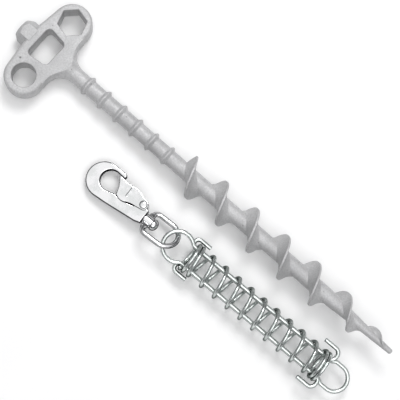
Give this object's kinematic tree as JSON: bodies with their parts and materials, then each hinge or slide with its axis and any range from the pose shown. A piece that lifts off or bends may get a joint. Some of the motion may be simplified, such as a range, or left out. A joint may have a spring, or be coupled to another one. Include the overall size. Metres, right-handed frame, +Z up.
{
  "type": "tent stake",
  "caption": "Cast screw-in ground stake with a slotted wrench head, lying beside a spring shock absorber with a swivel snap hook.",
  "frame": {"origin": "on the ground, under the middle of the whole set", "axes": "+X along the stake from head to tip, +Y from the spring unit towards the stake, +Z up"},
  "size_m": [0.4042, 0.1145, 0.0371],
  "materials": {
    "cast_aluminium": "matte die-cast",
    "zinc_steel": "bright zinc-plated",
    "chrome_zinc": "polished"
  },
  "bodies": {
    "stake": {"stake": "cast_aluminium"},
    "spring_unit": {"ring_drawbar": "zinc_steel", "compression_spring": "zinc_steel"},
    "bow_drawbar": {"bow_drawbar": "zinc_steel"},
    "swivel_eye": {"swivel_eye": "chrome_zinc"},
    "snap_hook": {"snap_body": "chrome_zinc", "swivel_pin": "chrome_zinc", "gate_rivet": "chrome_zinc", "gate_spring": "zinc_steel"},
    "snap_gate": {"snap_gate": "chrome_zinc"}
  },
  "joints": [
    {"name": "unit_lift", "type": "slide", "parent": "stake", "child": "spring_unit", "axis": [0, 0, 1], "range_m": [0, 0.15]},
    {"name": "spring_pull", "type": "slide", "parent": "spring_unit", "child": "bow_drawbar", "axis": [0.9995, 0.03, 0], "range_m": [0, 0.095], "stiffness_N_per_m": 5500, "deforming": ["compression_spring"]},
    {"name": "eye_link", "type": "hinge", "parent": "spring_unit", "child": "swivel_eye", "pos_m": [0.00336, -0.03804, 0.01328], "axis": [-0.0544, 0.9985, 0], "range_deg": [-5, 85]},
    {"name": "swivel", "type": "hinge", "parent": "swivel_eye", "child": "snap_hook", "pos_m": [0.00536, -0.03798, 0.01628], "axis": [0.988, 0.0539, 0.1447], "continuous": true},
    {"name": "gate", "type": "hinge", "parent": "snap_hook", "child": "snap_gate", "pos_m": [-0.02989, -0.03219, 0.01118], "axis": [-0.1445, -0.0079, 0.9895], "range_deg": [0, 17], "stiffness_Nm_per_rad": 0.037, "springref_deg": -20.05, "deforming": ["gate_spring"]}
  ]
}
